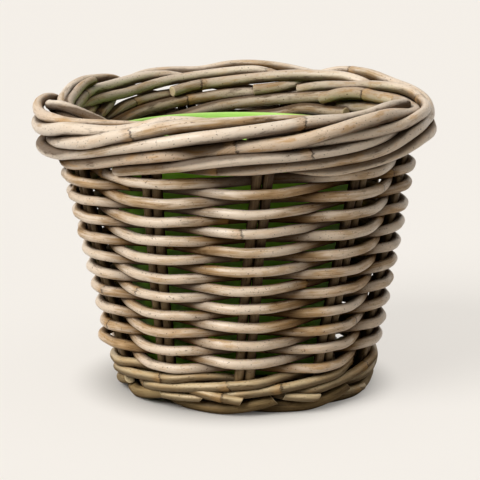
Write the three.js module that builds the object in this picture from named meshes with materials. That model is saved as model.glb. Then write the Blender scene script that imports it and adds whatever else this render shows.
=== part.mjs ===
// A round hand-woven rattan basket, a cachepot, with a lift-out plastic liner pot.
// Millimetres, +Z up. The front of the basket faces -Y, and angles turn from there towards +X.
// The origin is on the floor, under the middle of the border.
//
// The build order is the maker's: ten long canes cross the base in five pairs and turn up as ten
// pairs of stakes. Two canes are woven through the base, three make the foot wale, ten weavers fill
// the wall in plain randing, ten thick canes roll over the top as the border, and ten thick arcs
// make the foot.

import * as THREE from 'three';

// Wall and stakes
const STAKE_PAIRS = 10;              // even, so that two sets of weavers can alternate
const BORDER_MID_HEIGHT = 210.5;     // height of the middle of the rolled border
const STAKE_RADIUS_AT_FLOOR = 88.3;  // radius of the circle of stakes, carried down to the floor
const STAKE_FLARE_RATIO = 0.21;      // how much that circle grows for each millimetre of height
const STAKE_DIAMETER = 6.5;
const STAKE_BELOW_BORDER = 14.5;     // from the middle of the border down to the top of a stake
const FRONT_STAKE_ANGLE = -1.3;      // degrees, the front stake pair at the floor
const TWIST = 11.6;                  // degrees the stakes turn between the floor and the border
const BACK_DRIFT = 9;                // degrees more that the back stakes turn
const LEAN = 8.6;                    // how far the border sits to the left of the foot
const TILT = 1.3;                    // degrees the border rises to the right
const CLEARANCE = 0.3;               // between canes that touch

// Weavers of the wall
const WEAVER_DIAMETER = 7.0;
const ROW_PITCH = 7.13;
const FIRST_ROW_HEIGHT = 34.8;
const STEP_STAKES = 2;               // stakes at the back over which a round climbs to the next
const ODD_WEAVERS = 5;               // canes in the set of odd rows, each about two rounds long
const EVEN_WEAVERS = 4;              // canes in the set of even rows
const TUCK_STAKES = 0.9;             // a first or last end runs on this far under the step

// Base
const BASE_HEIGHT = 12.8;            // height of the middle of the crossing canes
const BASE_BEND_START = 21;          // height where a stake starts to bend into the base
const BASE_BEND_REACH = 8.6;         // how far in the bend ends
const BASE_WEAVER_DIAMETER = 5.4;
const BASE_WEAVE_INNER_RADIUS = 46;
const BASE_WEAVE_OUTER_RADIUS = 71.5;
const BASE_WEAVE_PITCH = 6.2;
const CROSSING_RAMP = 14;            // length over which a pair drops from its layer

// Foot wale: three canes, each before two pairs of stakes and behind one
const WALE_DIAMETER = 6.4;
const WALE_LOW = 12.3;               // height where a wale cane comes out between two pairs
const WALE_HIGH = 27;                // height where it goes back in

// Foot arcs
const ARC_DIAMETER = 9;
const ARC_INNER_RADIUS = 79;
const ARC_OUTER_RADIUS = 95.4;
const ARC_START_RISE = 2.4;          // the start sits this much above the floor stretch
const ARC_END_RISE = 7.3;            // the end rises this much over the next arc
const ARC_STAKES = 1.65;             // stakes that one arc passes
const ARC_LEAD_STAKES = 0.4;         // an arc starts this far before a pair

// Border
const BORDER_DIAMETER = 9;
const BORDER_ROLL_RADIUS = 9.5;      // radius that the middle of a cane takes over the top
const BORDER_OUTSIDE = 4;            // from the circle of stakes out to the middle of the roll
const BORDER_OUTER_ANGLE = 25;       // degrees that the outer face leans out
const BORDER_OUTER_LENGTH = 21.5;    // length of the outer face
const BORDER_INNER_LENGTH = 8;       // length of the inner face
const BORDER_GAP = 0.95;             // between two canes side by side on a face

// Liner pot
const LINER_CENTRE_X = 3;
const LINER_HEIGHT = 171;
const LINER_BASE_RADIUS = 72;
const LINER_TOP_RADIUS = 99.6;
const LINER_WALL = 1.6;
const LINER_LIP_WIDTH = 2.6;
const LINER_LIP_HEIGHT = 4;
const LINER_LIP_EDGE = 0.8;
const LINER_OUTER_CORNER = 3;
const LINER_INNER_CORNER = 4;

const STAKE_TOP = BORDER_MID_HEIGHT - STAKE_BELOW_BORDER;
const STAKE_STEP = 360 / STAKE_PAIRS;
const FLANK = 0.14;                  // part of a stake step that a woven cane runs flat past a pair
const PAIR_OFFSET = (STAKE_DIAMETER + CLEARANCE) / 2;
const UP = new THREE.Vector3(0, 0, 1);
const ARC_SIDES = 6;
const CANE_SIDES = 5;

const CANE = new THREE.MeshStandardMaterial({ color: 0xb39c7d, roughness: 0.72, metalness: 0 });
const DARK_CANE = new THREE.MeshStandardMaterial({ color: 0x6b5340, roughness: 0.75, metalness: 0 });
const PALE_CANE = new THREE.MeshStandardMaterial({ color: 0xc4b096, roughness: 0.68, metalness: 0 });
const FOOT_CANE = new THREE.MeshStandardMaterial({ color: 0xa38a63, roughness: 0.7, metalness: 0 });
const LIME_PLASTIC = new THREE.MeshStandardMaterial({ color: 0x8fcf45, roughness: 0.42, metalness: 0 });

const cachepot = new THREE.Group();

// Radius of the circle that the stakes stand on
function stakeCircle(height) {
  return STAKE_RADIUS_AT_FLOOR + STAKE_FLARE_RATIO * height;
}

// Angle in degrees at a place counted in stakes: the whole numbers are the stake pairs
function stakeAngle(count, height) {
  const rise = height / BORDER_MID_HEIGHT;
  const atBack = Math.sin(Math.PI * count / STAKE_PAIRS) ** 4;
  return FRONT_STAKE_ANGLE + STAKE_STEP * count + (TWIST + BACK_DRIFT * atBack) * rise;
}

// A point of the leaning basket from its radius, angle and height
function basketPoint(radius, angle, height) {
  const turn = THREE.MathUtils.degToRad(angle);
  const rise = height / BORDER_MID_HEIGHT;
  const across = radius * Math.sin(turn);
  const tilt = THREE.MathUtils.degToRad(TILT) * rise;
  return new THREE.Vector3(LEAN * (1 - rise) + across, -radius * Math.cos(turn), height + tilt * across);
}

// Horizontal direction along the wall at an angle
function alongWall(angle) {
  const turn = THREE.MathUtils.degToRad(angle);
  return new THREE.Vector3(Math.cos(turn), Math.sin(turn), 0);
}

// A closed cane: a polygon swept along points, its first corner towards the reference direction
function caneGeometry(points, references, diameter, sides, turn = 0) {
  const positions = [];
  const count = points.length;
  for (let i = 0; i < count; i += 1) {
    const before = points[Math.max(i - 1, 0)];
    const after = points[Math.min(i + 1, count - 1)];
    const toHere = points[i].clone().sub(before).normalize();
    const fromHere = after.clone().sub(points[i]).normalize();
    const tangent = toHere.add(fromHere).normalize();
    const first = references[i].clone().addScaledVector(tangent, -references[i].dot(tangent)).normalize();
    const second = tangent.clone().cross(first);
    for (let side = 0; side < sides; side += 1) {
      const angle = turn + 2 * Math.PI * side / sides;
      const corner = points[i].clone();
      corner.addScaledVector(first, Math.cos(angle) * diameter / 2);
      corner.addScaledVector(second, Math.sin(angle) * diameter / 2);
      positions.push(corner.x, corner.y, corner.z);
    }
  }
  const triangles = [];
  for (let i = 0; i + 1 < count; i += 1) {
    for (let side = 0; side < sides; side += 1) {
      const next = (side + 1) % sides;
      const here = i * sides;
      const there = here + sides;
      triangles.push(here + side, here + next, there + next);
      triangles.push(here + side, there + next, there + side);
    }
  }
  const last = (count - 1) * sides;
  for (let side = 1; side + 1 < sides; side += 1) {
    triangles.push(0, side + 1, side);
    triangles.push(last, last + side, last + side + 1);
  }
  const geometry = new THREE.BufferGeometry();
  geometry.setAttribute('position', new THREE.Float32BufferAttribute(positions, 3));
  geometry.setIndex(triangles);
  geometry.computeVertexNormals();
  return geometry;
}

function addPiece(name, geometry, material) {
  const piece = new THREE.Mesh(geometry, material);
  piece.name = name;
  cachepot.add(piece);
}

function numbered(name, index) {
  return `${name}_${String(index + 1).padStart(2, '0')}`;
}

// Places along a cane in stakes: both sides of each pair and each middle between two pairs
function woven(start, end) {
  const places = [start];
  for (let pair = Math.floor(start); pair <= Math.ceil(end); pair += 1) {
    for (const place of [pair - 0.5, pair - FLANK, pair + FLANK]) {
      if (place > start + FLANK / 2 && place < end - FLANK / 2) places.push(place);
    }
  }
  places.push(end);
  return places;
}

// Half the angle in degrees that a butt joint leaves open, counted in stakes
function jointGap(radius) {
  return CLEARANCE / THREE.MathUtils.degToRad(STAKE_STEP) / radius;
}

// How far a weaver stands off the circle of stakes: out at one pair, in at the next
function stand(place, sign, reach) {
  const nearest = Math.round(place);
  const away = Math.abs(place - nearest);
  const side = nearest % 2 === 0 ? 1 : -1;
  return sign * side * reach * Math.min(1, (0.5 - away) / (0.5 - FLANK));
}

// Stakes: five pairs of canes cross the base in two layers and turn up on both sides
const BASE_CROSSINGS = [
  { from: 0, to: 5, turn: 0, layer: -1 },
  { from: 1, to: 4, turn: 0, layer: -1 },
  { from: 9, to: 6, turn: 0, layer: -1 },
  { from: 2, to: 8, turn: 90, layer: 1 },
  { from: 3, to: 7, turn: 90, layer: 1 },
];

// One side of a stake cane, from its top down the wall and in to where it starts to cross
function stakeSide(pair, side, crossRadius, crossing) {
  const points = [];
  const references = [];
  const add = (radius, height) => {
    const angle = stakeAngle(pair, height);
    const point = basketPoint(radius, angle, height).addScaledVector(alongWall(angle), side * PAIR_OFFSET);
    points.push(point);
    references.push(alongWall(angle));
  };
  const wallSteps = 5;
  for (let step = 0; step < wallSteps; step += 1) {
    const height = THREE.MathUtils.lerp(STAKE_TOP, BASE_BEND_START, step / wallSteps);
    add(stakeCircle(height), height);
  }
  const bend = new THREE.QuadraticBezierCurve(
    new THREE.Vector2(stakeCircle(BASE_BEND_START), BASE_BEND_START),
    new THREE.Vector2(stakeCircle(BASE_HEIGHT), BASE_HEIGHT),
    new THREE.Vector2(stakeCircle(BASE_HEIGHT) - BASE_BEND_REACH, BASE_HEIGHT),
  );
  for (const point of bend.getPoints(4)) {
    add(point.x, point.y);
  }
  add(crossRadius + CROSSING_RAMP, BASE_HEIGHT);
  // The corner into the straight crossing is mitred, so that the pair keeps its spacing
  const angle = stakeAngle(pair, BASE_HEIGHT);
  const radial = alongWall(angle);
  const square = alongWall(stakeAngle(0, BASE_HEIGHT) + crossing.turn);
  const mitre = radial.clone().addScaledVector(square, Math.sign(square.dot(radial))).normalize();
  const corner = basketPoint(crossRadius, angle, BASE_HEIGHT + crossing.layer * PAIR_OFFSET);
  points.push(corner.addScaledVector(mitre, side * PAIR_OFFSET / mitre.dot(radial)));
  references.push(mitre);
  return { points, references };
}

BASE_CROSSINGS.forEach((crossing, index) => {
  // The group of parallel pairs meets the radial stretches where its spacing equals theirs
  const bend = Math.abs(Math.sin(THREE.MathUtils.degToRad(STAKE_STEP * crossing.from - crossing.turn)));
  const fromMiddle = crossing.turn === 0 ? 4 * PAIR_OFFSET : 2 * PAIR_OFFSET;
  const crossRadius = bend > 0.01 ? fromMiddle / bend : 4 * PAIR_OFFSET;
  for (const side of [-1, 1]) {
    const down = stakeSide(crossing.from, side, crossRadius, crossing);
    const up = stakeSide(crossing.to, -side, crossRadius, crossing);
    const points = [...down.points, ...up.points.reverse()];
    const upReferences = up.references.map((reference) => reference.negate()).reverse();
    const references = [...down.references, ...upReferences];
    const name = numbered('stake_cane', 2 * index + (side > 0 ? 1 : 0));
    addPiece(name, caneGeometry(points, references, STAKE_DIAMETER, CANE_SIDES), DARK_CANE);
  }
});

// Base weavers: two canes spiral out, one over the pairs that the other goes under
const BASE_WEAVERS = 2;
const baseWeaveStand = (STAKE_DIAMETER + BASE_WEAVER_DIAMETER) / 2 + CLEARANCE;
const baseWeaveWidth = BASE_WEAVE_OUTER_RADIUS - BASE_WEAVE_INNER_RADIUS;
const baseWeaveTurns = baseWeaveWidth / (BASE_WEAVERS * BASE_WEAVE_PITCH);
for (let weaver = 0; weaver < BASE_WEAVERS; weaver += 1) {
  const points = [];
  const references = [];
  const start = weaver * STAKE_PAIRS / 2;
  const end = start + baseWeaveTurns * STAKE_PAIRS;
  const overEven = weaver === 0 ? 1 : -1;
  for (const place of woven(start, end)) {
    const turns = (place - start) / STAKE_PAIRS;
    const radius = BASE_WEAVE_INNER_RADIUS + BASE_WEAVERS * BASE_WEAVE_PITCH * turns;
    const height = BASE_HEIGHT + stand(place, overEven, baseWeaveStand);
    points.push(basketPoint(radius, stakeAngle(place, BASE_HEIGHT), height));
    references.push(UP);
  }
  const geometry = caneGeometry(points, references, BASE_WEAVER_DIAMETER, CANE_SIDES);
  addPiece(numbered('base_weaver', weaver), geometry, CANE);
}

// Foot wale: heights and stand-off over one repeat of three pairs
const WALE_REPEAT = 3;
const waleStand = (STAKE_DIAMETER + WALE_DIAMETER) / 2 + 2 * CLEARANCE;
const WALE_FRONT = 2;
function waleHeight(phase) {
  if (phase <= WALE_FRONT) return THREE.MathUtils.lerp(WALE_LOW, WALE_HIGH, (phase / WALE_FRONT) ** 0.9);
  return THREE.MathUtils.lerp(WALE_HIGH, WALE_LOW, (phase - WALE_FRONT) ** 1.5);
}
function waleOffset(phase) {
  const nearest = Math.min(phase, Math.abs(phase - WALE_FRONT), WALE_REPEAT - phase);
  return (phase < WALE_FRONT ? 1 : -1) * waleStand * Math.min(1, nearest / (0.5 - FLANK));
}
const WALE_CANES = 3;
for (let cane = 0; cane < WALE_CANES; cane += 1) {
  const points = [];
  const references = [];
  // All three are one closed round of thirty pairs, cut where the cane is behind a pair
  const start = cane * (STAKE_PAIRS - 1) + 3;
  const end = cane < WALE_CANES - 1 ? start + STAKE_PAIRS - 1 : start + STAKE_PAIRS + 2;
  const gap = jointGap(stakeCircle(WALE_LOW));
  for (const place of woven(start + gap, end - gap)) {
    const phase = (place - 0.5 + WALE_REPEAT) % WALE_REPEAT;
    const height = waleHeight(phase);
    const radius = stakeCircle(height) + waleOffset(phase);
    points.push(basketPoint(radius, stakeAngle(place, height), height));
    references.push(UP);
  }
  const geometry = caneGeometry(points, references, WALE_DIAMETER, CANE_SIDES);
  addPiece(numbered('foot_wale_cane', cane), geometry, FOOT_CANE);
}

// Foot arcs: each comes from inside, lies on the floor and rises over the start of the next
const ARC_FLAT_START = 0.5;
const ARC_FLAT_END = 1;
function arcHeight(place) {
  const floor = ARC_DIAMETER / 2 * Math.cos(Math.PI / ARC_SIDES);
  const before = Math.max(0, 1 - place / ARC_FLAT_START);
  const after = Math.max(0, (place - ARC_FLAT_END) / (ARC_STAKES - ARC_FLAT_END));
  return floor + ARC_START_RISE * before ** 2 + ARC_END_RISE * after ** 1.5;
}
function arcRadius(place) {
  const swing = Math.sin(Math.PI / 2 * Math.min(1, place / 1.5));
  return ARC_INNER_RADIUS + (ARC_OUTER_RADIUS - ARC_INNER_RADIUS) * swing;
}
const ARC_PLACES = [0, 0.25, ARC_FLAT_START, 0.75, ARC_FLAT_END, 1.2, 1.42, ARC_STAKES];
for (let arc = 0; arc < STAKE_PAIRS; arc += 1) {
  const points = [];
  for (const place of ARC_PLACES) {
    const angle = stakeAngle(arc - ARC_LEAD_STAKES + place, 0);
    points.push(basketPoint(arcRadius(place), angle, 0).setZ(arcHeight(place)));
  }
  const references = points.map(() => UP);
  const geometry = caneGeometry(points, references, ARC_DIAMETER, ARC_SIDES, Math.PI / ARC_SIDES);
  addPiece(numbered('foot_arc', arc), geometry, FOOT_CANE);
}

// Course of a border cane seen from its end: up the outer face, over the roll and down the inner face
const borderSlope = THREE.MathUtils.degToRad(BORDER_OUTER_ANGLE);
const borderRoll = (Math.PI + borderSlope) * BORDER_ROLL_RADIUS;
const borderPath = BORDER_OUTER_LENGTH + borderRoll + BORDER_INNER_LENGTH;
const borderMidRadius = stakeCircle(BORDER_MID_HEIGHT) + BORDER_OUTSIDE;
const borderLane = BORDER_DIAMETER + BORDER_GAP;
function borderPlace(length) {
  if (length < BORDER_OUTER_LENGTH) {
    const below = BORDER_OUTER_LENGTH - length;
    return new THREE.Vector2(
      borderMidRadius + BORDER_ROLL_RADIUS * Math.cos(borderSlope) - below * Math.sin(borderSlope),
      BORDER_MID_HEIGHT - BORDER_ROLL_RADIUS * Math.sin(borderSlope) - below * Math.cos(borderSlope),
    );
  }
  const rolled = Math.min(length - BORDER_OUTER_LENGTH, borderRoll);
  const angle = rolled / BORDER_ROLL_RADIUS - borderSlope;
  const down = Math.max(0, length - BORDER_OUTER_LENGTH - borderRoll);
  return new THREE.Vector2(
    borderMidRadius + BORDER_ROLL_RADIUS * Math.cos(angle),
    BORDER_MID_HEIGHT + BORDER_ROLL_RADIUS * Math.sin(angle) - down,
  );
}
const borderStart = borderPlace(0);

// Wall weavers: two sets of canes in plain randing, one out where the other is in
const weaverFlat = stakeCircle(STAKE_TOP) * (1 - Math.cos(THREE.MathUtils.degToRad(FLANK * STAKE_STEP)));
const weaverStand = (STAKE_DIAMETER + WEAVER_DIAMETER) / 2 + CLEARANCE + weaverFlat;
// The rows stop below the starts of the border canes; the first set has one row more than the other
const rowRoom = borderStart.y - (BORDER_DIAMETER + WEAVER_DIAMETER) / 2 - CLEARANCE - FIRST_ROW_HEIGHT;
const rows = 2 * Math.floor(rowRoom / ROW_PITCH / 2) + 1;
const SETS = [
  { name: 'weaver_odd', canes: ODD_WEAVERS, outAt: -1, rounds: (rows + 1) / 2, lift: 0 },
  { name: 'weaver_even', canes: EVEN_WEAVERS, outAt: 1, rounds: (rows - 1) / 2, lift: ROW_PITCH },
];
// Places start at the end of the step at the back, so that a round is level and then climbs
const ROUND_START = STAKE_PAIRS / 2 + STEP_STAKES / 2;
function weaverHeight(place, lift) {
  const along = place - ROUND_START;
  const round = Math.max(0, Math.floor(along / STAKE_PAIRS));
  const inRound = along - round * STAKE_PAIRS;
  const climb = THREE.MathUtils.smoothstep(inRound, STAKE_PAIRS - STEP_STAKES, STAKE_PAIRS);
  return FIRST_ROW_HEIGHT + lift + 2 * ROW_PITCH * (round + climb);
}
for (const set of SETS) {
  const first = set.lift === 0 ? ROUND_START - TUCK_STAKES : ROUND_START + TUCK_STAKES / 3;
  const endRun = set.lift === 0 ? TUCK_STAKES : -TUCK_STAKES / 3;
  const last = ROUND_START + set.rounds * STAKE_PAIRS - STEP_STAKES + endRun;
  for (let cane = 0; cane < set.canes; cane += 1) {
    // Joints lie behind a pair, where the cane is inside
    const inside = set.outAt > 0 ? 1 : 0;
    const evenShare = (last - first) / set.canes;
    const jointAt = (index) => 2 * Math.round((first + index * evenShare - inside) / 2) + inside;
    const height = weaverHeight(jointAt(cane), set.lift);
    const gap = jointGap(stakeCircle(height));
    const start = cane === 0 ? first : jointAt(cane) + gap;
    const end = cane === set.canes - 1 ? last : jointAt(cane + 1) - gap;
    const points = [];
    const references = [];
    for (const place of woven(start, end)) {
      const level = weaverHeight(Math.min(place, last - endRun), set.lift);
      const radius = stakeCircle(level) + stand(place, set.outAt, weaverStand);
      const angle = stakeAngle(place, level);
      points.push(basketPoint(radius, angle, level));
      references.push(alongWall(angle - 90));
    }
    const geometry = caneGeometry(points, references, WEAVER_DIAMETER, CANE_SIDES);
    addPiece(numbered(set.name, cane), geometry, CANE);
  }
}

// Border: each cane comes out between two pairs at the foot of the band, rolls over the top and
// ends inside
const BORDER_STEPS_PER_STAKE = 3;
const BORDER_TAIL_PLACES = [-1.2, -1 + FLANK, -0.5];
const borderReachIn = (STAKE_DIAMETER + BORDER_DIAMETER) / 2 + CLEARANCE - weaverFlat;
for (let cane = 0; cane < STAKE_PAIRS; cane += 1) {
  const stakes = borderPath / borderLane;
  const steps = Math.round(stakes * BORDER_STEPS_PER_STAKE);
  const points = [];
  for (const place of BORDER_TAIL_PLACES) {
    const inward = Math.min(1, (-0.5 - place) / (0.5 - FLANK));
    const radius = stakeCircle(borderStart.y) - borderReachIn * inward;
    points.push(basketPoint(radius, stakeAngle(cane + place, BORDER_MID_HEIGHT), borderStart.y));
  }
  for (let step = 0; step <= steps; step += 1) {
    const section = borderPlace(borderPath * step / steps);
    const angle = stakeAngle(cane - FLANK + stakes * step / steps, BORDER_MID_HEIGHT);
    points.push(basketPoint(section.x, angle, section.y));
  }
  const references = points.map(() => UP);
  const geometry = caneGeometry(points, references, BORDER_DIAMETER, CANE_SIDES);
  addPiece(numbered('border_cane', cane), geometry, PALE_CANE);
}

// Liner pot: a thin tapered pot with a small turned-out lip, standing on the base weave
const linerFloor = BASE_HEIGHT + baseWeaveStand + BASE_WEAVER_DIAMETER / 2 + CLEARANCE;
const linerSlope = (LINER_TOP_RADIUS - LINER_BASE_RADIUS) / LINER_HEIGHT;
const linerProfile = [
  [0, 0],
  [LINER_BASE_RADIUS - LINER_OUTER_CORNER, 0],
  [LINER_BASE_RADIUS + LINER_OUTER_CORNER * linerSlope, LINER_OUTER_CORNER],
  [LINER_TOP_RADIUS - LINER_LIP_HEIGHT * linerSlope, LINER_HEIGHT - LINER_LIP_HEIGHT],
  [LINER_TOP_RADIUS + LINER_LIP_WIDTH - LINER_LIP_EDGE, LINER_HEIGHT - LINER_LIP_HEIGHT + LINER_LIP_EDGE],
  [LINER_TOP_RADIUS + LINER_LIP_WIDTH, LINER_HEIGHT - LINER_LIP_EDGE],
  [LINER_TOP_RADIUS + LINER_LIP_WIDTH - LINER_LIP_EDGE, LINER_HEIGHT],
  [LINER_TOP_RADIUS - LINER_WALL, LINER_HEIGHT],
  [LINER_BASE_RADIUS - LINER_WALL, LINER_WALL + LINER_INNER_CORNER],
  [LINER_BASE_RADIUS - LINER_WALL - LINER_INNER_CORNER, LINER_WALL],
  [0, LINER_WALL],
].map(([radius, height]) => new THREE.Vector2(radius, height));
const LINER_SEGMENTS = 36;
const liner = new THREE.LatheGeometry(linerProfile, LINER_SEGMENTS);
liner.rotateX(Math.PI / 2);
liner.translate(LINER_CENTRE_X, 0, linerFloor);
addPiece('liner_pot', liner, LIME_PLASTIC);

// The origin goes under the middle of the border
const extent = new THREE.Box3().setFromObject(cachepot);
const middle = extent.getCenter(new THREE.Vector3());
cachepot.position.set(-middle.x, -middle.y, -extent.min.z);

export default cachepot;
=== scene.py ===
"""Looks of a hand-woven rattan cachepot with a lift-out plastic liner pot.

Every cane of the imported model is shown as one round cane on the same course, with its bark, nodes
and cut ends. Sizes are in millimetres and angles in degrees until a mesh is made, in metres.
"""

import logging
import math
from dataclasses import dataclass, field
from enum import Enum
from typing import Sequence

import bpy
import numpy as np
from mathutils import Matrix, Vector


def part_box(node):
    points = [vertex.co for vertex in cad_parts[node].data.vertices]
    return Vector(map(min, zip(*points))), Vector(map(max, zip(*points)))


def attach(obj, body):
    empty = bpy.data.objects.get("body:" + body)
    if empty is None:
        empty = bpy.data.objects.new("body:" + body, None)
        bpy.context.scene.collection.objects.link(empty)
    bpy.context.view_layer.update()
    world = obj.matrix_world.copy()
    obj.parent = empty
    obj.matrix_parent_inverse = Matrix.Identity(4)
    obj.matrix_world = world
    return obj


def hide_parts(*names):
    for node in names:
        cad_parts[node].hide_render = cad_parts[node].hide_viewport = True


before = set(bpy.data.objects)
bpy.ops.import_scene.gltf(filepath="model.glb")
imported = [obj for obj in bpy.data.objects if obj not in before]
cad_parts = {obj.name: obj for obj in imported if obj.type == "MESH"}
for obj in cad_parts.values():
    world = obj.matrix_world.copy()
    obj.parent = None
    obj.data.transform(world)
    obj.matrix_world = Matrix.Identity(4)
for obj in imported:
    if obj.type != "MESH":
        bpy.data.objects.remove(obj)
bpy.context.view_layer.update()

Array = np.ndarray
MM = 0.001
log = logging.getLogger("cachepot")


# Shared numbers: the basket's form, as the solids have it.

PAIRS = 10
STAKE_STEP = 360.0 / PAIRS
PLACE_STEP = 0.03  # between the places worked out along a course, in stakes
CLEARANCE = 0.3    # between two canes of the solids
FLANK = 0.14       # from the middle of a pair to its side, in stakes
UP = np.array([0.0, 0.0, 1.0])
WAVE_GAIN = 1.6    # sines of random phase seldom all meet


@dataclass(frozen=True)
class Form:
    """The leaning, slightly turned cone that every cane follows."""

    border_height: float = 210.5
    radius_at_floor: float = 88.3
    flare: float = 0.21
    front_angle: float = -1.3
    twist: float = 11.6
    back_drift: float = 9.0
    lean: float = 8.6
    tilt: float = 1.3

    def circle(self, height: Array | float) -> Array:
        """Radius of the circle of stakes: a straight line in the height."""
        return self.radius_at_floor + self.flare * np.asarray(height, float)

    def angle(self, count: Array | float, height: Array | float) -> Array:
        """Angle of a place counted in stakes.

        Formula: 36 degrees for each stake, and a turn that grows with the height and is stronger
        at the back, by the fourth power of a sine.

        Args:
            count: places in stakes, whole numbers at the pairs.
            height: heights above the floor.

        Returns:
            Angles in degrees from the front towards +X.
        """
        count = np.asarray(count, float)
        rise = np.asarray(height, float) / self.border_height
        at_back = np.sin(np.pi * count / PAIRS) ** 4
        return self.front_angle + STAKE_STEP * count + (self.twist + self.back_drift * at_back) * rise

    def point(self, radius: Array | float, angle: Array | float, height: Array | float) -> Array:
        """Points of the basket from radius, angle and height.

        Formula: a circle about an axis that leans to the left with the height, tilted to the right.

        Returns:
            Points in rows of x, y and z.
        """
        radius, angle, height = np.broadcast_arrays(
            np.asarray(radius, float), np.radians(angle), np.asarray(height, float)
        )
        rise = height / self.border_height
        across = radius * np.sin(angle)
        x = self.lean * (1 - rise) + across
        z = height + math.radians(self.tilt) * rise * across
        return np.stack([x, -radius * np.cos(angle), z], axis=-1)


FORM = Form()


def along_wall(angle: Array | float) -> Array:
    """Level direction along the wall at an angle in degrees."""
    turn = np.radians(np.asarray(angle, float))
    return np.stack([np.cos(turn), np.sin(turn), np.zeros_like(turn)], axis=-1)


def outward(angle: Array | float) -> Array:
    """Level direction out of the wall at an angle in degrees."""
    return along_wall(np.asarray(angle, float) - 90.0)


def unit(vectors: Array) -> Array:
    """Vectors divided by their lengths."""
    return vectors / np.maximum(np.linalg.norm(vectors, axis=-1, keepdims=True), 1e-9)


def arc_length(line: Array) -> Array:
    """Length from the start of a line to each of its points."""
    return np.concatenate(([0.0], np.cumsum(np.linalg.norm(np.diff(line, axis=0), axis=1))))


def interpolated(at: Array, knots: Array, rows: Array) -> Array:
    """Rows of numbers that are known at the knots, taken at other places."""
    columns = np.asarray(rows, float).reshape(len(knots), -1).T
    return np.stack([np.interp(at, knots, column) for column in columns], axis=1)


def resample(line: Array, spacing: float, *others: Array) -> tuple[Array, ...]:
    """A line and what goes with its points, taken again at an even spacing."""
    length = arc_length(line)
    count = max(4, int(round(length[-1] / spacing)) + 1)
    places = np.linspace(0.0, length[-1], count)
    return tuple(interpolated(places, length, rows) for rows in (line, *others))


def smooth_line(points: Array, spacing: float, *others: Array) -> tuple[Array, ...]:
    """A smooth line through points.

    Formula: between two neighbours a cubic whose end slopes are those of the chords beside them,
    weighed by the chords' lengths, taken again at an even spacing.

    Args:
        points: rows of x, y and z.
        spacing: distance between the samples.
        others: rows of numbers that go with the points and change evenly between them.

    Returns:
        The sampled line, then the sampled others.
    """
    knots = arc_length(points)
    slopes = np.gradient(points, knots, axis=0)
    fine = np.linspace(0.0, knots[-1], int(knots[-1] / spacing * 4) + 8)
    piece = np.clip(np.searchsorted(knots, fine, side="right") - 1, 0, len(knots) - 2)
    span = (knots[piece + 1] - knots[piece])[:, None]
    t = (fine - knots[piece])[:, None] / span
    line = (
        (2 * t**3 - 3 * t**2 + 1) * points[piece]
        + (t**3 - 2 * t**2 + t) * span * slopes[piece]
        + (3 * t**2 - 2 * t**3) * points[piece + 1]
        + (t**3 - t**2) * span * slopes[piece + 1]
    )
    return resample(line, spacing, *[interpolated(fine, knots, other) for other in others])


def waves(places: Array, seed: int, shortest: float, longest: float, terms: int = 5) -> Array:
    """A slow random curve, mostly between -1 and 1.

    Formula: a sum of sines whose wavelengths run from longest to shortest, with random phases.
    """
    rng = np.random.default_rng(seed)
    lengths = np.geomspace(longest, shortest, terms)
    phases = rng.uniform(0, 2 * np.pi, terms)
    weights = lengths**0.5
    sines = np.sin(2 * np.pi * places[:, None] / lengths + phases)
    return (sines * weights).sum(axis=1) / weights.sum() * WAVE_GAIN


def shifted(line: Array) -> Array:
    """Points moved as the solids were, so that the origin is under the middle of the border."""
    return line + ORIGIN_SHIFT


# Meshes.

@dataclass
class Surface:
    """A mesh in the making: points, faces and what each point carries."""

    points: Array
    quads: Array
    triangles: Array
    values: dict[str, Array] = field(default_factory=dict)

    def build(self, name: str) -> bpy.types.Object:
        """Make the Blender object.

        Args:
            name: name of the piece.

        Returns:
            The object, at the origin, with its place in its mesh.
        """
        mesh = bpy.data.meshes.new(name)
        corners = np.concatenate([self.quads.ravel(), self.triangles.ravel()]).astype(np.int32)
        starts = np.concatenate(
            [np.arange(len(self.quads)) * 4, len(self.quads) * 4 + np.arange(len(self.triangles)) * 3]
        ).astype(np.int32)
        mesh.vertices.add(len(self.points))
        mesh.vertices.foreach_set("co", (self.points * MM).astype(np.float32).ravel())
        mesh.loops.add(len(corners))
        mesh.loops.foreach_set("vertex_index", corners)
        mesh.polygons.add(len(starts))
        mesh.polygons.foreach_set("loop_start", starts)
        mesh.polygons.foreach_set("use_smooth", np.ones(len(starts), dtype=bool))
        mesh.update(calc_edges=True)
        mesh.validate()
        for key, value in self.values.items():
            kind, entry = ("FLOAT_VECTOR", "vector") if value.ndim == 2 else ("FLOAT", "value")
            attribute = mesh.attributes.new(key, kind, "POINT")
            attribute.data.foreach_set(entry, value.astype(np.float32).ravel())
        piece = bpy.data.objects.new(name, mesh)
        bpy.context.scene.collection.objects.link(piece)
        return piece


def tube_faces(rows: int, columns: int) -> tuple[Array, Array]:
    """Faces of a closed tube, facing outwards.

    Args:
        rows: number of rings, whose points come first, ring by ring.
        columns: points in a ring. The poles of the first and the last ring follow the rings.

    Returns:
        Quads between the rings, and triangles from the two poles.
    """
    row, column = np.meshgrid(np.arange(rows - 1), np.arange(columns), indexing="ij")
    here = row * columns + column
    side = row * columns + (column + 1) % columns
    quads = np.stack([here, side, side + columns, here + columns], axis=-1).reshape(-1, 4)
    first = np.arange(columns)
    after = (first + 1) % columns
    last = (rows - 1) * columns
    pole = np.full(columns, rows * columns)
    start = np.stack([pole, after, first], axis=1)
    end = np.stack([pole + 1, last + first, last + after], axis=1)
    return quads, np.concatenate([start, end])


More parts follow.
